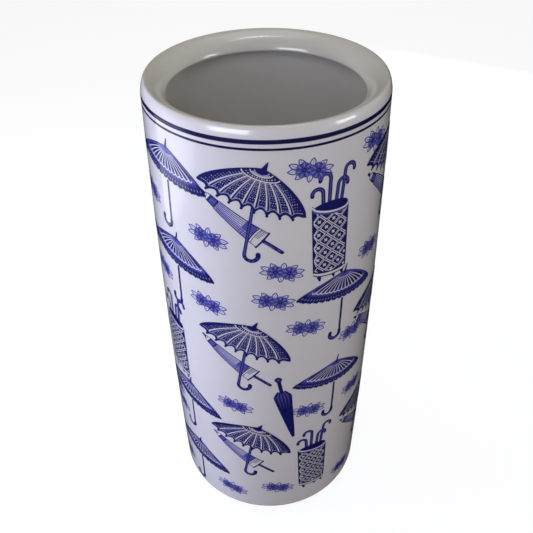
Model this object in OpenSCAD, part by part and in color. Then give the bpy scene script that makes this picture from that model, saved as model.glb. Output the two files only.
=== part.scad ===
/* [Body] */
// Outside diameter at the widest height
body_d = 200; // [160:5:260]
// Overall height, from the floor to the crest of the rim
total_h = 460; // [300:1:600]
// How much smaller the radius is 200 mm above and below the widest height
belly = 2.1; // [0:0.1:4]
// Diameter of the straight bore
bore_d = 182; // [144:1:240]
// Radius of the outside corner at the heel
corner_r = 7; // [5:0.5:8]
// Radius of the cove where the inside of the wall turns into the floor
cove_r = 8; // [4:0.5:14]
// Height of the step that centres each ring on the one below
seat_step = 3; // [2:0.5:5]

/* [Rolled rim] */
// Height of the rim, from its seat on the wall to the crest
rim_h = 27; // [24:1:36]
// Height of the curved outer shoulder below the crest
shoulder_h = 13; // [10:1:18]
// Radial distance from the widest outside in to the crest
crest_in = 6.7; // [5:0.1:10]
// Radial distance from the widest outside in to the lip's inner edge
lip_in = 21.3; // [16:0.1:26]
// Height of the lip's inner edge below the crest
lip_drop = 14; // [11:1:18]
// Height of the lip's underside above the seat, where it meets the bore
lip_root = 7; // [3:1:9]
// Rounding of the lip's inner edge
lip_edge_r = 2; // [1:0.25:3]

/* [Floor and foot] */
// Thickness of the floor slab
floor_t = 10; // [8:1:14]
// How far the floor slab is let into the heel
floor_rebate = 1.5; // [1:0.25:3]
// Height of plain wall on the heel above the cove
heel_land = 3; // [2:1:10]
// How far the foot ring is set in from the widest outside
foot_in = 12; // [12:1:30]
// Width of the foot ring
foot_w = 10; // [6:1:16]
// How far the foot ring stands out below the floor slab
foot_h = 3; // [2:0.5:6]
// Depth of the groove that holds the foot ring
foot_set = 2; // [1:0.5:4]
// Rounding of the foot ring's lower edges
foot_edge_r = 1; // [0.5:0.25:1.5]

/* [Hidden] */

$fn = 96;
arc_steps = 14;

body_r = body_d / 2;
bore_r = bore_d / 2;
// The belly is widest a little above half height
belly_z = total_h * 0.515;
belly_reach = 200;

floor_top = foot_h + floor_t;
floor_r = bore_r + floor_rebate;
// Rounded corner at the heel, and the angle on it at which the floor slab's edge meets the outside
corner_z = foot_h + corner_r;
corner_x = wall_x(corner_z) - corner_r;
corner_a = -acos((floor_r - corner_x) / corner_r);

// Stepped seams: the inner half of the wall meets at this height, the outer half one step higher
heel_z = floor_top + cove_r + heel_land;
seat_z = total_h - rim_h;
seat_r = bore_r + 3.5;
shoulder_z = total_h - shoulder_h;
crest_r = body_r - crest_in;
lip_r = body_r - lip_in;
lip_z = total_h - lip_drop;
root_z = seat_z + lip_root;
// The underside of the lip runs from the bore, tangent to the rounded inner edge
edge_x = lip_r + lip_edge_r;
edge_run = norm([bore_r - edge_x, root_z - lip_z]);
edge_a = 360 + atan2(root_z - lip_z, bore_r - edge_x) - acos(lip_edge_r / edge_run);

foot_r = body_r - foot_in;
foot_in_r = foot_r - foot_w;

glaze_white = [0.84, 0.83, 0.88];
biscuit = [0.86, 0.83, 0.77];

// Outside radius of the faintly bellied wall at a height
function wall_x(z) = body_r - belly * pow((z - belly_z) / belly_reach, 2);

// Points up the outside of the wall
function wall_side(z0, z1, steps) = [for (i = [0:steps]) let (z = z0 + (z1 - z0) * i / steps) [wall_x(z), z]];

// Points along an elliptical arc in the radius-height plane
function arc(cx, cz, rx, rz, a0, a1, steps = arc_steps) =
    [for (i = [0:steps]) let (a = a0 + (a1 - a0) * i / steps) [cx + rx * cos(a), cz + rz * sin(a)]];

// Points down the inner face of the rim, from the crest to the lip: fuller than a cone, flatter than an ellipse
function rim_inside(steps) =
    [for (i = [1:steps]) let (a = 90 * i / steps)
        [crest_r - (crest_r - lip_r) * pow(sin(a), 4 / 3), lip_z + lip_drop * pow(cos(a), 4 / 3)]];

// All points of a list but its first, for a stretch that starts on the point before it
function rest(p) = [for (i = [1:len(p) - 1]) p[i]];

// Points of a stepped seam, from the outside in
function seam(z) = [[wall_x(z + seat_step), z + seat_step], [seat_r, z + seat_step], [seat_r, z], [bore_r, z]];

function reversed(p) = [for (i = [len(p) - 1:-1:0]) p[i]];

// Tube between two stepped seams, straight inside and faintly bellied outside
module body_wall() {
    side = wall_side(heel_z + seat_step, seat_z + seat_step, 16);
    profile = concat(reversed(rest(seam(heel_z))), side, rest(seam(seat_z)));
    color(glaze_white) rotate_extrude() polygon(profile);
}

// Ring with a rounded outside corner and a coved inside, which joins the wall to the floor
module heel_ring() {
    profile = concat(
        arc(corner_x, corner_z, corner_r, corner_r, corner_a, 0),
        rest(wall_side(corner_z, heel_z + seat_step, 3)),
        rest(seam(heel_z)),
        arc(bore_r - cove_r, floor_top + cove_r, cove_r, cove_r, 0, -90),
        [[floor_r, floor_top]]
    );
    color(glaze_white) rotate_extrude() polygon(profile);
}

// Thick lip that rolls over from the outside and hangs inwards over the bore
module rolled_rim() {
    top_x = wall_x(shoulder_z);
    profile = concat(
        reversed(rest(seam(seat_z))),
        wall_side(seat_z + seat_step, shoulder_z, 2),
        rest(arc(crest_r, shoulder_z, top_x - crest_r, shoulder_h, 0, 90)),
        rim_inside(20),
        rest(arc(edge_x, lip_z, lip_edge_r, lip_edge_r, 180, edge_a)),
        [[bore_r, root_z]]
    );
    color(glaze_white) rotate_extrude() polygon(profile);
}

// Flat disc pushed up inside the heel, with a groove below for the foot ring
module floor_slab() {
    edge = arc(corner_x, corner_z, corner_r, corner_r, -90, corner_a);
    color(glaze_white) difference() {
        rotate_extrude() polygon(concat([[0, foot_h]], edge, [[floor_r, floor_top], [0, floor_top]]));
        foot_groove();
    }
}

// Ring cut out of the slab's underside, open below
module foot_groove() {
    rotate_extrude() translate([foot_in_r, 0]) square([foot_w, foot_h + foot_set]);
}

// Unglazed ring that the stand rests on
module foot_ring() {
    profile = concat(
        arc(foot_r - foot_edge_r, foot_edge_r, foot_edge_r, foot_edge_r, -90, 0),
        [[foot_r, foot_h + foot_set], [foot_in_r, foot_h + foot_set]],
        arc(foot_in_r + foot_edge_r, foot_edge_r, foot_edge_r, foot_edge_r, 180, 270)
    );
    color(biscuit) rotate_extrude() polygon(profile);
}

body_wall();
rolled_rim();
heel_ring();
floor_slab();
foot_ring();
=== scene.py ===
"""Round ceramic umbrella stand: white glaze, a rolled rim, and a blue print of umbrellas and flower sprigs.

The print's layout, its two open umbrellas, the folded one and its little drum still follow the photo's own
artwork, as do the sizes and tilts of its other pictures, and the lights began as a fit to the photo's tones.
Both are open faults.
"""
import math

import bpy
from mathutils import Matrix, Quaternion, Vector, noise


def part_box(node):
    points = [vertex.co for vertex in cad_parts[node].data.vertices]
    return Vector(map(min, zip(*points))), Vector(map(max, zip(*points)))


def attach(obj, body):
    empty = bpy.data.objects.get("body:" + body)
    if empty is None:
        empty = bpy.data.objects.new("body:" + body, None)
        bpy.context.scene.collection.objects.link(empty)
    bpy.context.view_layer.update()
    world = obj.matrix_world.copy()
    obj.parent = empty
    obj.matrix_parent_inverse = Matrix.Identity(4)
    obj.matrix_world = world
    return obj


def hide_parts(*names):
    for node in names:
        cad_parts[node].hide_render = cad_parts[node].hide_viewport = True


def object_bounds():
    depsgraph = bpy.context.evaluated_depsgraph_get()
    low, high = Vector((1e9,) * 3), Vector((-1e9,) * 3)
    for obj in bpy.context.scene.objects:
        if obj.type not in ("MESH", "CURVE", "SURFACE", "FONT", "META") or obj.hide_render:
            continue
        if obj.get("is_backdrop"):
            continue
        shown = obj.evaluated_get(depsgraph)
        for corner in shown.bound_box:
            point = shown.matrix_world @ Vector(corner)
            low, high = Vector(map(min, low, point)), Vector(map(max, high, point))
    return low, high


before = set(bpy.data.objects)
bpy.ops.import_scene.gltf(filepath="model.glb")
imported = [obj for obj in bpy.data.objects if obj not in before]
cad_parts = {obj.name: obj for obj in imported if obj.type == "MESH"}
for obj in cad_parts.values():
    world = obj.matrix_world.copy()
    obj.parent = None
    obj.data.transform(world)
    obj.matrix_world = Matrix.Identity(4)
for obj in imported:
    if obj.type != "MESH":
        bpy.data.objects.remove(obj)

CAD_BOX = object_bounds()
MM = 0.001

# ---------------------------------------------------------------- dimensions, in millimetres


def box_mm(node):
    low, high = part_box(node)
    return low / MM, high / MM


BODY_R = box_mm("body_wall")[1].x
RIM_TOP = box_mm("rolled_rim")[1].z
RIM_SEAT = box_mm("rolled_rim")[0].z
HEEL_SEAT = box_mm("body_wall")[0].z
FLOOR_LOW, FLOOR_TOP = (corner.z for corner in box_mm("floor_slab"))
FLOOR_R = box_mm("floor_slab")[1].x
FOOT_R = box_mm("foot_ring")[1].x
FOOT_TOP = box_mm("foot_ring")[1].z

BORE_R = 91.0
BELLY = 2.1
BELLY_REACH = 200.0
BELLY_Z = 0.515 * RIM_TOP
SEAM_STEP = 3.0
SEAM_IN = 3.5
CORNER_R = 7.0
COVE_R = 8.0
CREST_IN = 6.7
SHOULDER_H = 13.0
LIP_IN = 21.3
LIP_DROP = 14.0
LIP_ROOT = 7.0
LIP_EDGE_R = 2.0
FOOT_W = 10.0
FOOT_EDGE_R = 1.0

GIRTH = 2 * math.pi * BODY_R
TURNS = 288

# ---------------------------------------------------------------- materials

GLAZE_ROUGHNESS = 0.32
# How far the print's roughness strays from the glaze's, either way
PRINT_PATCH = 0.05


def new_material(name, roughness, coat=0.0):
    material = bpy.data.materials.new(name)
    material.use_nodes = True
    shader = material.node_tree.nodes["Principled BSDF"]
    shader.inputs["Roughness"].default_value = roughness
    shader.inputs["Coat Weight"].default_value = coat
    shader.inputs["Coat Roughness"].default_value = 0.03
    return material, material.node_tree, shader


def noise_node(tree, scale, detail=3.0, roughness=0.5):
    where = tree.nodes.new("ShaderNodeTexCoord")
    node = tree.nodes.new("ShaderNodeTexNoise")
    node.inputs["Scale"].default_value = scale
    node.inputs["Detail"].default_value = detail
    node.inputs["Roughness"].default_value = roughness
    tree.links.new(where.outputs["Object"], node.inputs["Vector"])
    return node


def colour_ramp(tree, source, stops):
    ramp = tree.nodes.new("ShaderNodeValToRGB")
    while len(ramp.color_ramp.elements) < len(stops):
        ramp.color_ramp.elements.new(0.5)
    for element, (place, colour) in zip(ramp.color_ramp.elements, stops):
        element.position = place
        element.color = (*colour, 1.0)
    tree.links.new(source, ramp.inputs["Fac"])
    return ramp


def add_bump(tree, shader, height, strength, distance):
    bump = tree.nodes.new("ShaderNodeBump")
    bump.inputs["Strength"].default_value = strength
    bump.inputs["Distance"].default_value = distance
    tree.links.new(height, bump.inputs["Height"])
    tree.links.new(bump.outputs["Normal"], shader.inputs["Normal"])
    tree.links.new(bump.outputs["Normal"], shader.inputs["Coat Normal"])


def add_ripple(tree, shader):
    """The faint unevenness of a dipped glaze."""
    ripple = noise_node(tree, 26.0, 2.0, 0.4)
    add_bump(tree, shader, ripple.outputs["Fac"], 0.10, 0.0009)


def glaze(name, low, high, scale):
    """Glossy glaze whose colour drifts between low and high."""
    material, tree, shader = new_material(name, GLAZE_ROUGHNESS, 1.0)
    drift = noise_node(tree, scale, 4.0, 0.6)
    ramp = colour_ramp(tree, drift.outputs["Fac"], [(0.32, low), (0.68, high)])
    tree.links.new(ramp.outputs["Color"], shader.inputs["Base Color"])
    add_ripple(tree, shader)
    return material


def printed(name, colour, scale=90.0):
    """Colour of the print under the same glaze: even, but patchy in sheen where it lies thicker."""
    material, tree, shader = new_material(name, GLAZE_ROUGHNESS, 1.0)
    shader.inputs["Base Color"].default_value = (*colour, 1.0)
    patch = noise_node(tree, scale, 4.0, 0.6)
    low, high = GLAZE_ROUGHNESS - PRINT_PATCH, GLAZE_ROUGHNESS + PRINT_PATCH
    ramp = colour_ramp(tree, patch.outputs["Fac"], [(0.32, (low, low, low)), (0.68, (high, high, high))])
    tree.links.new(ramp.outputs["Color"], shader.inputs["Roughness"])
    add_ripple(tree, shader)
    return material


def biscuit():
    """Unglazed clay, ground flat: matt, with fine grit."""
    material, tree, shader = new_material("biscuit_clay", 0.85)
    grit = noise_node(tree, 900.0, 5.0, 0.7)
    ramp = colour_ramp(tree, grit.outputs["Fac"], [(0.3, (0.50, 0.44, 0.36)), (0.7, (0.70, 0.66, 0.58))])
    tree.links.new(ramp.outputs["Color"], shader.inputs["Base Color"])
    add_bump(tree, shader, grit.outputs["Fac"], 0.35, 0.0003)
    return material


WHITE_GLAZE = glaze("white_glaze", (0.735, 0.728, 0.765), (0.775, 0.768, 0.800), 9.0)
BISCUIT = biscuit()
BAND_INK = printed("cobalt_band", (0.003, 0.003, 0.066), 25.0)
TONES = {
    "ink": printed("cobalt_ink", (0.009, 0.010, 0.140)),
    "wash": printed("cobalt_wash", (0.085, 0.090, 0.425)),
    "pale": printed("cobalt_pale", (0.390, 0.400, 0.700)),
    "white": printed("reserved_white", (0.755, 0.748, 0.782)),
}

# ---------------------------------------------------------------- vessel


def arc(cx, cy, rx, ry, start, end, steps=18):
    """Points on an ellipse between two angles in degrees, both ends included."""
    turns = (math.radians(start + (end - start) * i / steps) for i in range(steps + 1))
    return [(cx + rx * math.cos(a), cy + ry * math.sin(a)) for a in turns]


def add_mesh(name, verts, faces, materials, tones=None):
    mesh = bpy.data.meshes.new(name)
    mesh.from_pydata(verts, [], faces)
    for material in materials:
        mesh.materials.append(material)
    if tones:
        mesh.polygons.foreach_set("material_index", tones)
    mesh.shade_smooth()
    piece = bpy.data.objects.new(name, mesh)
    bpy.context.scene.collection.objects.link(piece)
    return piece


def lathe(name, profile, material):
    """Solid of revolution from a closed outline of (radius, height) in millimetres."""
    verts = []
    rings = []
    for r, z in profile:
        if r < 1e-6:
            rings.append([len(verts)] * TURNS)
            verts.append((0.0, 0.0, z * MM))
            continue
        rings.append(list(range(len(verts), len(verts) + TURNS)))
        for i in range(TURNS):
            a = 2 * math.pi * i / TURNS
            verts.append((r * MM * math.cos(a), r * MM * math.sin(a), z * MM))
    faces = []
    for ring, after in zip(rings, rings[1:] + rings[:1]):
        if len(set(ring)) == 1 and len(set(after)) == 1:
            continue
        for i in range(TURNS):
            j = (i + 1) % TURNS
            corners = [ring[i], ring[j], after[j], after[i]]
            faces.append([c for k, c in enumerate(corners) if c != corners[k - 1]])
    piece = add_mesh(name, verts, faces, [material])
    piece.data.set_sharp_from_angle(angle=math.radians(28))
    return piece


def wall_radius(z):
    """Outside radius of the faintly bellied wall."""
    return BODY_R - BELLY * ((z - BELLY_Z) / BELLY_REACH) ** 2


def wall_side(low, high, steps):
    """Points up the outside of the wall."""
    heights = (low + (high - low) * i / steps for i in range(steps + 1))
    return [(wall_radius(z), z) for z in heights]


def seam(z):
    """Stepped seam between two rings of clay, from the outside in, without its outermost point."""
    middle = BORE_R + SEAM_IN
    return [(middle, z + SEAM_STEP), (middle, z), (BORE_R, z)]


def rim_outside(z):
    """Radius of the outside at height z, on the wall or on the rim's curved shoulder."""
    start = RIM_TOP - SHOULDER_H
    if z < start:
        return wall_radius(z)
    rise = (z - start) / SHOULDER_H
    crest = BODY_R - CREST_IN
    return crest + (wall_radius(start) - crest) * math.sqrt(1 - rise * rise)


def rim_inside(steps):
    """Inner face of the rim, from the crest to the lip: fuller than a cone, flatter than an ellipse."""
    crest = BODY_R - CREST_IN
    lip = BODY_R - LIP_IN
    low = RIM_TOP - LIP_DROP
    turns = (math.pi / 2 * i / steps for i in range(1, steps))
    bulge = 4 / 3
    curve = [
        (crest - (crest - lip) * math.sin(a) ** bulge, low + LIP_DROP * math.cos(a) ** bulge)
        for a in turns
    ]
    return curve + [(lip, low)]


def rim_profile():
    start = RIM_TOP - SHOULDER_H
    crest_r = BODY_R - CREST_IN
    lip_z = RIM_TOP - LIP_DROP
    edge_x = BODY_R - LIP_IN + LIP_EDGE_R
    root_z = RIM_SEAT + LIP_ROOT
    run = math.hypot(BORE_R - edge_x, root_z - lip_z)
    slope = math.degrees(math.atan2(root_z - lip_z, BORE_R - edge_x))
    edge_end = 360 + slope - math.degrees(math.acos(LIP_EDGE_R / run))
    return (
        seam(RIM_SEAT)[::-1]
        + wall_side(RIM_SEAT + SEAM_STEP, start, 3)
        + arc(crest_r, start, wall_radius(start) - crest_r, SHOULDER_H, 0, 90)[1:]
        + rim_inside(30)
        + arc(edge_x, lip_z, LIP_EDGE_R, LIP_EDGE_R, 180, edge_end, 6)[1:]
        + [(BORE_R, root_z)]
    )


def corner():
    """Centre of the heel's rounded corner, and the angle on it where the floor slab comes out."""
    z = FLOOR_LOW + CORNER_R
    x = wall_radius(z) - CORNER_R
    return x, z, -math.degrees(math.acos((FLOOR_R - x) / CORNER_R))


def heel_profile():
    x, z, start = corner()
    return (
        arc(x, z, CORNER_R, CORNER_R, start, 0)
        + wall_side(z, HEEL_SEAT + SEAM_STEP, 3)[1:]
        + seam(HEEL_SEAT)
        + arc(BORE_R - COVE_R, FLOOR_TOP + COVE_R, COVE_R, COVE_R, 0, -90)
        + [(FLOOR_R, FLOOR_TOP)]
    )


def floor_profile():
    x, z, end = corner()
    inner = FOOT_R - FOOT_W
    groove = [(inner, FLOOR_LOW), (inner, FOOT_TOP), (FOOT_R, FOOT_TOP), (FOOT_R, FLOOR_LOW)]
    edge = arc(x, z, CORNER_R, CORNER_R, -90, end, 4)
    return [(0, FLOOR_LOW)] + groove + edge + [(FLOOR_R, FLOOR_TOP), (0, FLOOR_TOP)]


def foot_profile():
    inner = FOOT_R - FOOT_W
    return (
        arc(FOOT_R - FOOT_EDGE_R, FOOT_EDGE_R, FOOT_EDGE_R, FOOT_EDGE_R, -90, 0, 6)
        + [(FOOT_R, FOOT_TOP), (inner, FOOT_TOP)]
        + arc(inner + FOOT_EDGE_R, FOOT_EDGE_R, FOOT_EDGE_R, FOOT_EDGE_R, 180, 270, 6)
    )


def build_vessel():
    side = wall_side(HEEL_SEAT + SEAM_STEP, RIM_SEAT + SEAM_STEP, 32)
    wall = seam(HEEL_SEAT)[::-1] + side + seam(RIM_SEAT)
    parts = [
        ("glazed_wall", "body_wall", wall, WHITE_GLAZE, "glazed_body"),
        ("glazed_rim", "rolled_rim", rim_profile(), WHITE_GLAZE, "glazed_body"),
        ("glazed_heel", "heel_ring", heel_profile(), WHITE_GLAZE, "glazed_body"),
        ("glazed_floor", "floor_slab", floor_profile(), WHITE_GLAZE, "glazed_body"),
        ("ground_foot", "foot_ring", foot_profile(), BISCUIT, "biscuit_foot"),
    ]
    for name, node, profile, material, slot in parts:
        piece = lathe(name, profile, material)
        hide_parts(node)
        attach(piece, "root")


# ---------------------------------------------------------------- drawing the print
# Shapes are drawn flat in millimetres, x to the right along the wall and y up, then bent round the wall.

# Longest stretches of a line and of a filled area that stay straight when they are bent
STROKE_STEP = 2.5
AREA_STEP = 3.5


def smooth(points, step=1.0):
    """Curve through a few points, sampled about every step millimetres."""
    ends = [points[0]] + list(points) + [points[-1]]
    path = [points[0]]
    for p0, p1, p2, p3 in zip(ends, ends[1:], ends[2:], ends[3:]):
        count = max(1, math.ceil(math.dist(p1, p2) / step))
        for k in range(1, count + 1):
            t = k / count
            path.append(tuple(
                0.5 * (2 * b + (c - a) * t + (2 * a - 5 * b + 4 * c - d) * t * t
                       + (3 * b - a - 3 * c + d) * t ** 3)
                for a, b, c, d in zip(p0, p1, p2, p3)
            ))
    return path


def dense(path):
    """The same path with more points on its long stretches, so that it bends with the wall."""
    result = path[:1]
    for a, b in zip(path, path[1:]):
        count = math.ceil(math.dist(a, b) / STROKE_STEP)
        result += [tuple(p + (q - p) * k / count for p, q in zip(a, b)) for k in range(1, count + 1)]
    return result


def turned(points, degrees):
    c, s = math.cos(math.radians(degrees)), math.sin(math.radians(degrees))
    return [(x * c - y * s, x * s + y * c) for x, y in points]


class Motif:
    """One printed picture: triangles and quads with a tone and a level, where a higher level lies on top."""

    def __init__(self):
        self.shapes = []

    def quads(self, tone, level, rows):
        for row, after in zip(rows, rows[1:]):
            for k in range(len(row) - 1):
                self.shapes.append((tone, level, (row[k], row[k + 1], after[k + 1], after[k])))

    def patch(self, tone, level, at, across, along):
        """Grid of quads over at(s, t), with s and t from 0 to 1."""
        rows = [[at(i / across, j / along) for i in range(across + 1)] for j in range(along + 1)]
        self.quads(tone, level, rows)

    def area(self, tone, level, outline):
        """Filled outline that its own centre can see all of."""
        n = len(outline)
        cx = sum(p[0] for p in outline) / n
        cy = sum(p[1] for p in outline) / n
        reach = max(math.dist(p, (cx, cy)) for p in outline)
        rings = max(1, math.ceil(reach / AREA_STEP))
        closed = outline + outline[:1]
        rows = [[(cx + (x - cx) * k / rings, cy + (y - cy) * k / rings) for x, y in closed]
                for k in range(1, rings + 1)]
        self.quads(tone, level, rows)
        for a, b in zip(rows[0], rows[0][1:]):
            self.shapes.append((tone, level, (a, b, (cx, cy))))

    def stroke(self, tone, level, path, width, round_ends=True):
        """Line along path; width is a number, or a function of the share of the path's length."""
        span = width if callable(width) else (lambda t: width)
        path = dense([p for k, p in enumerate(path) if k == 0 or math.dist(p, path[k - 1]) > 1e-6])
        if len(path) < 2:
            return
        lengths = [0.0]
        for a, b in zip(path, path[1:]):
            lengths.append(lengths[-1] + math.dist(a, b))
        total = lengths[-1]
        stations = []
        for k, (x, y) in enumerate(path):
            before, after = path[max(0, k - 1)], path[min(len(path) - 1, k + 1)]
            dx, dy = after[0] - before[0], after[1] - before[1]
            d = math.hypot(dx, dy)
            stations.append((x, y, dx / d, dy / d, span(lengths[k] / total) / 2))
        if round_ends:
            stations = cap(stations[0], -1)[::-1] + stations + cap(stations[-1], 1)
        rows = [[(x - dy * h, y + dx * h), (x + dy * h, y - dx * h)] for x, y, dx, dy, h in stations]
        self.quads(tone, level, rows)

    def dot(self, tone, level, centre, radius, sides=10):
        cx, cy = centre
        self.area(tone, level, arc(cx, cy, radius, radius, 0, 360, sides)[:-1])

    def add(self, other, degrees, shift=(0.0, 0.0), raise_by=0):
        """Copies another motif's shapes into this one, turned and moved."""
        for tone, level, corners in other.shapes:
            moved = [(x + shift[0], y + shift[1]) for x, y in turned(corners, degrees)]
            self.shapes.append((tone, level + raise_by, tuple(moved)))


def cap(station, side):
    """Stations that round off a stroke's end, going outwards."""
    x, y, dx, dy, h = station
    steps = (math.radians(a) for a in (30, 60, 82))
    return [
        (x + side * dx * h * math.sin(a), y + side * dy * h * math.sin(a), dx, dy, h * math.cos(a))
        for a in steps
    ]


class Canopy:
    """Open umbrella cover seen from the side: h runs from -1 at the left tip to 1 at the right, rho from the
    crown at 0 to the hem at 1."""

    panel_steps = 6

    def __init__(self, half, rise, bulge, sag, panels, scallop):
        self.half, self.rise, self.bulge, self.sag = half, rise, bulge, sag
        self.panels, self.scallop = panels, scallop

    def at(self, h, rho):
        dome = max(0.0, 1 - rho ** self.bulge) ** (1 / self.bulge)
        dip = self.sag * rho ** 0.25 * math.sqrt(max(0.0, 1 - h * h))
        return self.half * h * rho, self.rise * dome - dip

    def hem(self, h):
        wave = abs(math.sin(math.pi * self.panels * (h + 1) / 2))
        return 1 - self.scallop * wave * math.sqrt(max(0.0, 1.02 - h * h))

    def rib(self, k):
        return -1 + 2 * k / self.panels

    def along(self, h, start, end, steps=16):
        return [self.at(h, start + (end - start) * i / steps) for i in range(steps + 1)]

    def across(self, rho, left=-1.0, right=1.0, steps=40):
        return [self.at(left + (right - left) * i / steps, rho) for i in range(steps + 1)]

    def fill(self, motif, tone, level, start=0.02, end=1.0):
        def at(s, t):
            h = 2 * s - 1
            return self.at(h, start + (end * self.hem(h) - start) * t)
        motif.patch(tone, level, at, self.panels * self.panel_steps, 16)

    def outline(self, motif, level, width):
        for side in (-1, 1):
            motif.stroke("ink", level, self.along(side, 0.03, 1.0, 26), width)
        hem = []
        steps = self.panels * self.panel_steps
        for i in range(steps + 1):
            h = -1 + 2 * i / steps
            hem.append(self.at(h, self.hem(h)))
        motif.stroke("ink", level, hem, width)


def hook_path(root, tip, radius, side, sweep=190):
    """Straight shaft from root to tip with a hook on its end, which curls anticlockwise if side is 1."""
    (x0, y0), (x1, y1) = root, tip
    d = math.dist(root, tip)
    dx, dy = (x1 - x0) / d, (y1 - y0) / d
    cx, cy = x1 - side * dy * radius, y1 + side * dx * radius
    start = math.degrees(math.atan2(y1 - cy, x1 - cx))
    count = max(2, round(d / 3))
    shaft = [(x0 + (x1 - x0) * i / count, y0 + (y1 - y0) * i / count) for i in range(count)]
    return shaft + arc(cx, cy, radius, radius, start, start + side * sweep, 16)


# ---------------------------------------------------------------- motifs


def patterned_canopy():
    """Big umbrella cover: speckled panels between pairs of light lines, and a ringed crown."""
    cover = Canopy(half=43.4, rise=30.0, bulge=1.4, sag=6.0, panels=9, scallop=0.055)
    m = Motif()
    cover.fill(m, "ink", 1)
    for k in range(cover.panels):
        left, right = cover.rib(k), cover.rib(k + 1)
        for row in range(12):
            rho = 0.39 + 0.047 * row
            size = 0.27 + 0.24 * rho
            for share in (0.30, 0.52, 0.74) if row % 2 else (0.41, 0.63):
                x, y = cover.at(left + (right - left) * share, rho)
                diamond = [(x - size, y), (x, y + size), (x + size, y), (x, y - size)]
                m.area("pale" if row % 3 else "white", 3, diamond)
    for k in range(1, cover.panels):
        for side, tone, width in ((-0.026, "white", 1.25), (0.036, "pale", 0.65)):
            path = cover.along(cover.rib(k) + side, 0.36, 0.95)
            m.stroke(tone, 4, path, lambda t: width * (0.6 + 0.4 * t), False)
        m.dot("ink", 4, cover.at(cover.rib(k), 1.02), 1.2)
    hem = [cover.at(h, cover.hem(h) * 0.965) for h in (-0.97 + 1.94 * i / 90 for i in range(91))]
    m.stroke("pale", 5, hem, 0.55, False)
    for rho, tone, width in ((0.335, "white", 1.0), (0.20, "white", 0.8), (0.13, "pale", 0.7)):
        m.stroke(tone, 5, cover.across(rho), width, False)
    for i in range(13):
        h = -0.92 + 1.84 * i / 12
        m.dot("white" if i % 2 else "pale", 4, cover.at(h, 0.268), 0.6, 6)
        m.stroke("white", 4, cover.along(h * 0.9, 0.145, 0.19, 2), 0.55, False)
    cover.outline(m, 6, 0.9)
    m.stroke("ink", 7, [(0.6, 28.0), (1.2, 32.0), (1.8, 36.0)], lambda t: 5.5 - 4.7 * t)
    return m


def folded_umbrella():
    """Folded umbrella along +x, from the end of its handle to its tip."""
    m = Motif()
    m.stroke("ink", 0, [(0.0, 0.0), (2.0, 0.1), (4.0, 0.0)], 2.6)

    def half(x):
        return 4.3 + 3.7 * (x - 15.5) / 43.5

    def pleat(share, start, end):
        return [(x, share * half(x)) for x in (start + (end - start) * i / 10 for i in range(11))]
    m.area("white", 0, [(3.2, -1.6), (7.4, -3.0), (7.4, 3.0), (3.2, 1.6)])
    m.stroke("ink", 1, [(7.4, -3.2), (3.4, -1.8), (3.4, 1.8), (7.4, 3.2)], 0.7)
    m.patch("ink", 1, lambda s, t: (7.2 + 8.6 * s, (2 * t - 1) * (3.6 + 0.6 * s)), 4, 3)
    m.patch("wash", 2, lambda s, t: (8.8 + 5.2 * s, (2 * t - 1) * (2.3 + 0.4 * s)), 3, 2)
    m.patch("white", 1, lambda s, t: (15.5 + 43.5 * s, (2 * t - 1) * half(15.5 + 43.5 * s)), 16, 5)
    m.patch("pale", 2, lambda s, t: (17 + 33 * s, half(17 + 33 * s) * (-0.25 - 0.72 * t)), 12, 2)
    m.patch("wash", 2, lambda s, t: (40 + 10 * s, half(40 + 10 * s) * (0.95 - 1.9 * t)), 4, 4)
    for k in range(8):
        share = -0.96 + 1.92 * k / 7
        tone, width = ("ink", 0.8) if k in (0, 7) else ("wash", 0.85)
        m.stroke(tone, 3, pleat(share, 16, 50), width)
    for side in (-1, 1):
        m.stroke("ink", 3, pleat(side, 15.5, 59), 0.7)
    for x, width in ((50.2, 0.9), (52.2, 0.55)):
        m.stroke("ink", 4, [(x + 0.8 * side * side, side * half(x)) for side in (-1, -0.4, 0.4, 1)], width)
    for k in range(6):
        share = 0.85 - 0.19 * k
        m.stroke("wash" if k % 2 else "ink", 4, pleat(share, 53.2, 57.2 - 0.3 * k), 0.6)
    m.stroke("ink", 5, [(59.2, -8.3), (59.6, 0), (59.2, 8.3)], 1.5)
    m.stroke("ink", 1, [(60, 0), (68, 0.2), (78, 0)], 3.2)
    m.stroke("wash", 2, [(62, -0.5), (67, -0.4), (71, -0.5)], 1.2)
    m.stroke("wash", 2, [(73.5, 0.2), (76, 0.1)], 1.3)
    return m


def umbrella_pair():
    """Big patterned umbrella with a folded one lying behind its shaft; the origin is the tip on its crown."""
    m = Motif()
    m.add(folded_umbrella(), degrees=-38.3, shift=(-50.5, -27.5))
    shaft = hook_path((-10.5, -34.0), (-18.2, -77.5), 5.4, 1, 200)
    m.stroke("ink", 6, shaft, lambda t: 2.7 if t < 0.6 else 2.7 + 3.0 * (t - 0.6))
    m.stroke("wash", 7, shaft[1:-2], 1.0)
    for k in range(len(shaft) - 15, len(shaft) - 2, 3):
        m.dot("ink", 8, shaft[k], 1.0, 8)
    m.add(patterned_canopy(), degrees=-18.9, shift=(-12.7, -32.3), raise_by=6)
    return m


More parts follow.
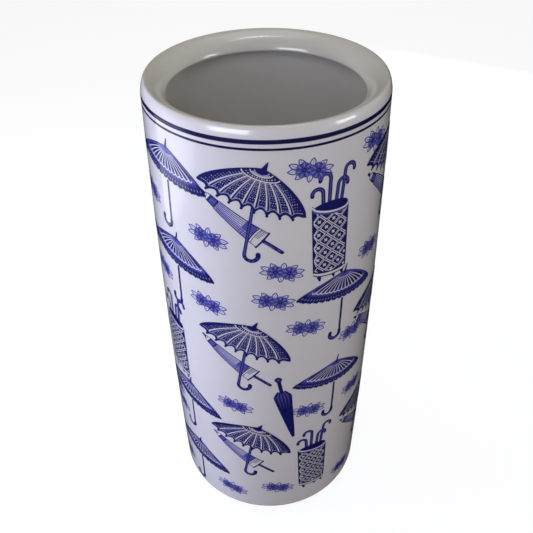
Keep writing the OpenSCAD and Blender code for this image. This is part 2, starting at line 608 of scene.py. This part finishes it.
def plain_parasol():
    """Shallow ribbed parasol, dark below a zigzag line, on a thin shaft; the origin is its crown."""
    cover = Canopy(half=41.8, rise=22.5, bulge=1.3, sag=5.6, panels=14, scallop=0.03)
    m = Motif()
    cover.fill(m, "wash", 1)
    cover.fill(m, "ink", 2, 0.88, 0.99)
    for k in range(cover.panels):
        middle = (cover.rib(k) + cover.rib(k + 1)) / 2
        m.stroke("ink", 2, cover.along(middle, 0.26, 0.70, 8), lambda t: 0.5 + 2.0 * t, False)
        for h in (middle - 0.036, middle + 0.036):
            m.area("ink", 3, [cover.at(h - 0.036, 0.89), cover.at(h, 0.79), cover.at(h + 0.036, 0.89)])
    for k in range(1, cover.panels):
        m.stroke("white", 3, cover.along(cover.rib(k), 0.22, 0.75, 12), lambda t: 0.4 + 0.5 * t, False)
    for i in range(2 * cover.panels):
        h = -0.96 + 1.92 * i / (2 * cover.panels - 1)
        m.area("ink", 4, [cover.at(h - 0.035, 0.97), cover.at(h, 1.05), cover.at(h + 0.035, 0.97)])
        m.stroke("pale", 5, [cover.at(h - 0.005, 0.945), cover.at(h + 0.005, 0.915)], 0.55)
    zigzag = [cover.at(-0.94 + 1.88 * i / 28, 0.745 + 0.04 * (i % 2)) for i in range(29)]
    m.stroke("white", 4, zigzag, 0.9, False)
    m.stroke("pale", 4, cover.across(0.20, -0.9, 0.9, 16), 0.7, False)
    cover.outline(m, 5, 0.8)
    m.stroke("ink", 6, [(0.0, 21.0), (0.4, 25.0), (0.8, 29.0)], lambda t: 2.6 - 1.5 * t)
    whole = Motif()
    shaft = hook_path((0.0, -31.0), (-0.6, -68.5), 5.3, -1, 205)
    whole.stroke("ink", 0, shaft, lambda t: 2.4 if t < 0.62 else 3.8)
    whole.stroke("wash", 1, shaft[-12:-3], 1.0)
    whole.add(m, degrees=-8.6, shift=(-2.4, -23.7), raise_by=1)
    return whole


def leaf(m, base, tip, width, level):
    """Pointed leaf: white with a dark edge and a vein."""
    (x0, y0), (x1, y1) = base, tip
    d = math.dist(base, tip)
    nx, ny = -(y1 - y0) / d, (x1 - x0) / d

    def side(sign, shares):
        return [
            (x0 + (x1 - x0) * t + sign * nx * width / 2 * w, y0 + (y1 - y0) * t + sign * ny * width / 2 * w)
            for t, w in shares
        ]
    shape = [(0, 0.6), (0.3, 1.0), (0.65, 0.8), (1, 0)]
    outline = smooth(side(1, shape)) + smooth(side(-1, shape[-2::-1]))
    m.area("white", level, outline)
    m.stroke("wash", level + 1, outline + outline[:1], 1.0)
    m.stroke("wash", level + 1, [base, ((x0 + 2 * x1) / 3, (y0 + 2 * y1) / 3)], 0.5)


def sprig():
    """Two round flowers side by side in an even ring of pointed leaves; the origin is its middle."""
    m = Motif()
    leaves = 10
    leaf_width = 4.2
    inner, outer = (10.5, 3.8), (18.5, 9.6)
    for k in range(leaves):
        a = 360 * (k + 0.5) / leaves
        base, tip = (arc(0, 0, rx, ry, a, a, 1)[0] for rx, ry in (inner, outer))
        leaf(m, base, tip, leaf_width, 0)
    petals = 7
    for cx in (-5.6, 5.6):
        m.dot("wash", 2, (cx, 0.0), 4.6, 16)
        for k in range(petals):
            a = 360 * k / petals
            x, y = turned([(4.3, 0.0)], a)[0]
            m.dot("wash", 2, (cx + x, y), 2.4, 12)
            edge = turned([(2.6, 0.0), (5.8, 0.0)], a + 180 / petals)
            m.stroke("ink", 3, [(cx + x, y) for x, y in edge], 0.5)
            vein = turned([(3.2, 0.0), (5.6, 0.0)], a)
            m.stroke("pale", 3, [(cx + x, y) for x, y in vein], 0.4)
        m.dot("ink", 4, (cx, 0.0), 2.0)
        m.dot("wash", 5, (cx, 0.0), 0.8, 8)
    return m


def closed_parasol():
    """Rolled dark parasol hanging straight down from a knob; the origin is near the top of the knob."""
    neck, tip = -19.0, -89.0
    m = Motif()

    def half(t):
        """Half the width of the rolled cover, from its neck at 0 to its tip at 1."""
        return (0.8 + 8.0 * (1 - t) ** 0.9) * min(1.0, 0.4 + 6.0 * t)

    def at(s, t):
        return (2 * s - 1) * half(t), neck + (tip - neck) * t
    m.patch("wash", 1, at, 5, 36)
    folds = 5
    for k in range(folds):
        path = [at((k + 0.5) / folds, t / 22) for t in range(23)]
        m.stroke("ink", 2, path, lambda t: 0.9 + 1.7 * math.sin(math.pi * t), False)
    for s in (0.0, 1.0):
        m.stroke("ink", 3, [at(s, t / 36) for t in range(37)], 1.2)
    m.stroke("ink", 4, [(0.0, neck - 1.0), (0.0, -3.0)], 3.6)
    m.dot("ink", 4, (0.0, -2.6), 3.4, 16)
    m.dot("wash", 5, (0.0, -2.6), 1.3, 8)
    return m


def drum_at(s, t):
    """Point on the little drum: s runs across it, and t down from the mouth to the base."""
    across = 2 * s - 1
    dip = math.sqrt(max(0.0, 1 - across * across))
    top = 2.0 - 4.6 * s - 4.2 * dip
    base = -59.4 - 1.9 * s - 2.7 * dip
    return -1.5 + 1.8 * t + across * (15.9 - 1.1 * t), top + (base - top) * t


def lattice_body(m, level):
    """Drum with a white lattice, a cross in every whole diamond, between a rim and a base band."""
    m.patch("ink", level, drum_at, 12, 20)
    for j in range(10):
        for i in range(-1, 5):
            if (i + j) % 2:
                diamond(m, (-11.4 + 6.3 * i, -5.5 - 6.0 * j), level + 1)
    for side in (0.0, 1.0):
        m.stroke("ink", level + 2, [drum_at(side, t / 20) for t in range(21)], 1.3)
    band = [drum_at(s / 12, 0.985) for s in range(13)]
    low = [(x, y - 3.2) for x, y in band]
    m.quads("white", level + 2, [band, low])
    m.stroke("ink", level + 3, band, 0.8)
    m.stroke("ink", level + 3, low, 1.0)
    for x in (-9.5, 3.5, 12.0):
        m.stroke("ink", level + 1, [(x, -65.0), (x + 0.8, -68.5)], lambda t: 4.0 - 2.2 * t)
    rim = [drum_at(s / 16, 0.0) for s in range(17)]
    m.stroke("ink", level + 3, [(x, y + 1.2) for x, y in rim], 0.6)
    m.stroke("white", level + 4, rim, 1.6)
    m.stroke("wash", level + 3, [(x, y - 1.8) for x, y in rim], 1.4)


def diamond(m, middle, level):
    """White diamond frame kept inside the drum, with a small cross in it where its middle lies inside too."""
    def point(a, b):
        y = middle[1] + b
        t = min(1.0, max(0.0, (y + 3.0) / -58.0))
        left, right = drum_at(0.0, t)[0] + 1.0, drum_at(1.0, t)[0] - 1.0
        x = min(right, max(left, middle[0] + a))
        share = (x - left) / (right - left)
        top, base = drum_at(share, 0.0)[1] - 2.2, drum_at(share, 0.985)[1] + 1.0
        return x, min(top, max(base, y))
    corners = [point(-5.3, 0), point(0, 5.0), point(5.3, 0), point(0, -5.0)]
    for p, q in zip(corners, corners[1:] + corners[:1]):
        if min(abs(p[0] - q[0]), abs(p[1] - q[1])) > 1.5:
            m.stroke("white", level, [p, q], 0.7)
    arm = 1.15
    for sign in (-1, 1) if point(0, 0) == middle else ():
        path = [point(-arm, -arm * sign), point(0, 0), point(arm, arm * sign)]
        m.stroke("white", level, path, 1.1, False)


def filled_stand():
    """Small drum stand with hooked sticks in it; the origin is the middle of its mouth."""
    m = Motif()
    # Where each stick's hook starts, and the way it curls
    sticks = [(-9.0, 13.0, 1), (-3.0, 24.0, 1), (4.0, 17.0, -1), (10.0, 27.0, -1)]
    for x, top, side in sticks:
        path = hook_path((0.8 * x - 1.0, -3.0), (x, top), 4.4, side)
        m.stroke("ink", 1, path, 3.4)
        m.stroke("wash", 2, path[1:-1], 1.0)
    m.area("ink", 3, arc(-1.5, -0.3, 15.6, 5.0, 0, 360, 36)[:-1])
    lattice_body(m, 6)
    return m


# ---------------------------------------------------------------- laying out the pattern


# Where each motif's origin goes: distance round the wall from the front, and height, in millimetres. On the
# side that the photo shows, places and tilts follow its print, which is an open fault.
LAYOUT = {
    "umbrella_pair": [(0, 434), (-10, 285), (-8, 150.5), (139, 431), (137, 286), (131, 146)],
    "plain_parasol": [(-86, 432), (-84, 351), (-88, 177), (-84, 87), (66.5, 324.5), (65, 220)],
    "filled_stand": [(51, 392), (46, 103), (-102, 248)],
    "sprig": [(32, 426), (-48.5, 365), (11, 338.5), (4, 309), (-53, 296), (32, 275), (-33, 175), (38, 165),
              (-43, 33), (8, 44), (96, 430), (84, 245), (95.5, 162), (-120, 379), (-113, 304), (101, 329),
              (-115, 124), (-120, 36), (92, 30), (172, 413), (188, 335), (170, 220), (192, 145), (160, 65)],
    "closed_parasol": [(7.5, 218), (155, 207)],
}
REPEATS = 2
SPRIG_TILT = -11.0
PARASOL_TILT = 10.0
FIRST_LIFT = 0.05
LEVEL_LIFT = 0.022
# Copies of a motif differ a little in height, in turn, so that they never lie in one surface where they meet
COPY_LIFT = 0.002
COPY_LIFTS = 3
BAND_LIFT = 0.06


def wrap(x, y, lift):
    """A place on the flat drawing bent round the wall, in metres."""
    a = x / BODY_R - math.pi / 2
    r = (wall_radius(y) + lift) * MM
    return r * math.cos(a), r * math.sin(a), y * MM


def wall_normal(place):
    """Outward direction of the wall under a place near it, in metres."""
    x, y, z = place
    lean = 2 * BELLY * (z / MM - BELLY_Z) / BELLY_REACH ** 2
    return (Vector((x, y, 0)).normalized() + Vector((0, 0, lean))).normalized()


def signed_area(corners):
    """Positive when the corners run anticlockwise."""
    after = corners[1:] + corners[:1]
    return sum(p[0] * q[1] - q[0] * p[1] for p, q in zip(corners, after)) / 2


def print_piece(name, motif, places, tilt):
    """One mesh with every copy of a motif bent round the wall, lit as if it were part of the glaze."""
    verts, faces, tones = [], [], []
    names = sorted(TONES)
    source = Motif()
    source.add(motif, tilt)
    for number, (u, z) in enumerate(places):
        index = {}
        for tone, level, corners in source.shapes:
            lift = FIRST_LIFT + LEVEL_LIFT * level + COPY_LIFT * (number % COPY_LIFTS)
            face = []
            for x, y in corners:
                key = (round(x, 3), round(y, 3), level, tone)
                if key not in index:
                    index[key] = len(verts)
                    verts.append(wrap(u + x, z + y, lift))
                face.append(index[key])
            if signed_area(corners) < 0:
                face.reverse()
            face = list(dict.fromkeys(face))
            if len(face) > 2:
                faces.append(face)
                tones.append(names.index(tone))
    piece = add_mesh(name, verts, faces, [TONES[tone] for tone in names], tones)
    piece.data.normals_split_custom_set_from_vertices([wall_normal(place) for place in verts])
    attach(piece, "root")


def build_print():
    drawings = [
        ("umbrella_prints", "umbrella_pair", umbrella_pair(), 0.0),
        ("parasol_prints", "plain_parasol", plain_parasol(), 0.0),
        ("stand_prints", "filled_stand", filled_stand(), 0.0),
        ("sprig_prints", "sprig", sprig(), SPRIG_TILT),
        ("closed_parasol_prints", "closed_parasol", closed_parasol(), PARASOL_TILT),
    ]
    for name, key, motif, tilt in drawings:
        places = [(u + k * GIRTH / REPEATS, z) for k in range(REPEATS) for u, z in LAYOUT[key]]
        print_piece(name, motif, places, tilt)


# Painted lines round the rim: the height of each one's middle, and its width
BANDS = {"rim_band": (450.2, 3.3), "rim_line": (444.7, 1.9)}


def build_band(name, centre, width):
    """Painted blue line round the outside of the rim; its edges waver a little."""
    verts, faces = [], []
    rows = 4
    drift, swell = 0.12, 0.10
    for i in range(TURNS):
        a = 2 * math.pi * i / TURNS
        spot = Vector((math.cos(a), math.sin(a), centre * 0.1)) * 3.0
        middle = centre + drift * noise.noise(spot)
        half = width / 2 + swell * noise.noise(spot * 2.3)
        for k in range(rows + 1):
            z = middle - half + 2 * half * k / rows
            r = rim_outside(z) + BAND_LIFT
            verts.append((r * MM * math.cos(a), r * MM * math.sin(a), z * MM))
    for i in range(TURNS):
        j = (i + 1) % TURNS
        for k in range(rows):
            low, high = i * (rows + 1) + k, j * (rows + 1) + k
            faces.append((low, high, high + 1, low + 1))
    piece = add_mesh(name, verts, faces, [BAND_INK])
    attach(piece, "root")


# ---------------------------------------------------------------- stage, light and camera


# Soft boxes, in metres: place, what it points at, spin in degrees, width, height, whether it lights the body
# colour ("matt"), shows in the glaze ("gloss") or both, strength, colour. The strengths and colours began as
# a fit to the photo's tones and were then tuned.
LIGHTS = {
    "left_low": ((-1.00, -0.10, 0.25), (0, 0, 0.3), 0, 0.6, 0.4, "matt", 9.4, (0.71, 0.75, 1.0)),
    "left_foot": ((-0.80, -0.06, 0.06), (0, 0, 0.05), 0, 0.4, 0.2, "matt", 1.5, (0.76, 0.80, 1.0)),
    "back_left": ((-1.00, 0.50, 0.72), (0, 0, 0.45), 0, 0.5, 0.4, "matt", 3.4, (0.92, 0.93, 0.94)),
    "front_panel": ((0.10, -1.40, 0.35), (0, 0, 0.25), 0, 1.0, 0.5, "matt", 2.8, (0.85, 0.84, 1.0)),
    "front_near": ((-0.10, -0.70, 1.05), (0, 0, 0.45), 0, 0.4, 0.4, "matt", 1.6, (0.87, 0.90, 0.95)),
    "front_left": ((-0.70, -1.12, 0.76), (0, 0, 0.40), 0, 0.85, 0.5, "matt", 2.3, (0.66, 0.73, 1.0)),
    "front_right": ((0.70, -1.10, 0.20), (0, 0, 0.22), 0, 0.5, 0.3, "matt", 1.0, (0.93, 0.93, 1.0)),
    "right_panel": ((1.20, -0.40, 0.60), (0, 0, 0.3), 0, 0.8, 0.8, "matt", 1.7, (0.85, 0.88, 1.0)),
    "back_right": ((1.00, 0.50, 0.72), (0, 0, 0.45), 0, 0.5, 0.4, "matt", 2.4, (1.0, 1.0, 0.97)),
    "rear_right": ((0.60, 1.10, 0.32), (0, 0, 0.25), 0, 0.6, 0.5, "matt", 3.2, (0.88, 0.90, 1.0)),
    "ceiling": ((0.0, 0.1, 1.80), (0, 0, 0.4), 0, 1.0, 1.0, "both", 2.8, (1.0, 1.0, 0.97)),
    "window": ((-0.70, -1.12, 0.76), (0, 0, 0.46), 0, 0.85, 0.55, "gloss", 10.5, (0.78, 0.83, 1.0)),
    "lamp_right": ((1.10, -0.42, 0.66), (0, 0, 0.46), 0, 0.40, 0.30, "gloss", 2.4, (1.0, 1.0, 1.0)),
    "tube": ((0.21, -0.23, 2.00), (0.21, -0.23, 0), 0, 1.0, 0.035, "gloss", 2.0, (1.0, 1.0, 1.0)),
    "floor_glow": (
        (-1.015, -0.006, 0.01), (-1.015, -0.006, 1.0), -63.2, 0.8, 0.7, "gloss", 1.8, (0.90, 0.92, 1.0),
    ),
}
# From the same fit: the sky was then tuned, and the ground was not
SKY = (0.200, 0.168, 0.080)
GROUND = (0.222, 0.199, 0.204)
BACKDROP = (0.78, 0.79, 0.82)


def build_floor():
    size = 9.0
    floor = add_mesh("floor", [(-size, -size, 0), (size, -size, 0), (size, size, 0), (-size, size, 0)],
                     [(0, 1, 2, 3)], [])
    material, tree, shader = new_material("pale_floor", 0.9)
    shader.inputs["Base Color"].default_value = (0.14, 0.14, 0.15, 1.0)
    shader.inputs["Emission Color"].default_value = (0.90, 0.905, 0.915, 1.0)
    shader.inputs["Emission Strength"].default_value = 1.0
    shader.inputs["Specular IOR Level"].default_value = 0.0
    floor.data.materials.append(material)
    floor.visible_glossy = False
    floor.visible_diffuse = False
    floor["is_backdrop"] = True


def add_area(name, place, target, spin, width, height, rays, power, colour):
    lamp = bpy.data.lights.new(name, "AREA")
    lamp.shape = "RECTANGLE"
    lamp.size, lamp.size_y = width, height
    lamp.energy = power
    lamp.color = colour
    light = bpy.data.objects.new(name, lamp)
    light.location = place
    aim = (Vector(target) - Vector(place)).to_track_quat("-Z", "Y")
    light.rotation_euler = (aim @ Quaternion((0, 0, 1), math.radians(spin))).to_euler()
    light.visible_camera = False
    light.visible_glossy = rays != "matt"
    light.visible_diffuse = rays != "gloss"
    bpy.context.scene.collection.objects.link(light)


def build_light():
    """Soft boxes all round under a dim sky, in front of a pale backdrop that lights nothing."""
    world = bpy.data.worlds.new("studio")
    world.use_nodes = True
    tree = world.node_tree
    where = tree.nodes.new("ShaderNodeTexCoord")
    split = tree.nodes.new("ShaderNodeSeparateXYZ")
    tree.links.new(where.outputs["Generated"], split.inputs["Vector"])
    ramp = colour_ramp(tree, split.outputs["Z"], [(0.0, GROUND), (0.06, SKY)])
    tree.links.new(ramp.outputs["Color"], tree.nodes["Background"].inputs["Color"])
    backdrop = tree.nodes.new("ShaderNodeBackground")
    backdrop.inputs["Color"].default_value = (*BACKDROP, 1.0)
    rays = tree.nodes.new("ShaderNodeLightPath")
    choice = tree.nodes.new("ShaderNodeMixShader")
    tree.links.new(rays.outputs["Is Camera Ray"], choice.inputs["Fac"])
    tree.links.new(tree.nodes["Background"].outputs["Background"], choice.inputs[1])
    tree.links.new(backdrop.outputs["Background"], choice.inputs[2])
    tree.links.new(choice.outputs["Shader"], tree.nodes["World Output"].inputs["Surface"])
    bpy.context.scene.world = world
    world.cycles_visibility.glossy = False
    for name, settings in LIGHTS.items():
        add_area(name, *settings)
    bpy.context.scene.view_settings.view_transform = "Standard"


# Fitted to the outline, the mouth and the painted lines in the photo: metres, degrees, and lens millimetres
CAMERA_PLACE = Vector((0.0, -0.490, 0.662))
CAMERA_PITCH = 39.03
CAMERA_YAW = -0.185
CAMERA_ROLL = -0.727
CAMERA_LENS = 44.44


def build_camera():
    pitch, yaw, roll = (math.radians(a) for a in (CAMERA_PITCH, CAMERA_YAW, CAMERA_ROLL))
    ahead = Vector((math.sin(yaw) * math.cos(pitch), math.cos(yaw) * math.cos(pitch), -math.sin(pitch)))
    level = Vector((math.cos(yaw), -math.sin(yaw), 0.0))
    upright = level.cross(ahead)
    right = math.cos(roll) * level + math.sin(roll) * upright
    up = math.cos(roll) * upright - math.sin(roll) * level
    lens = bpy.data.cameras.new("camera")
    lens.lens = CAMERA_LENS
    lens.sensor_width = 36.0
    lens.clip_start = 0.01
    camera = bpy.data.objects.new("camera", lens)
    turn = Matrix((right, up, -ahead)).transposed().to_4x4()
    camera.matrix_world = Matrix.Translation(CAMERA_PLACE) @ turn
    bpy.context.scene.collection.objects.link(camera)
    bpy.context.scene.camera = camera


build_camera()
build_vessel()
for name, (height, width) in BANDS.items():
    build_band(name, height, width)
build_print()
build_floor()
build_light()

cad, seen = ([list(corner) for corner in box] for box in (CAD_BOX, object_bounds()))
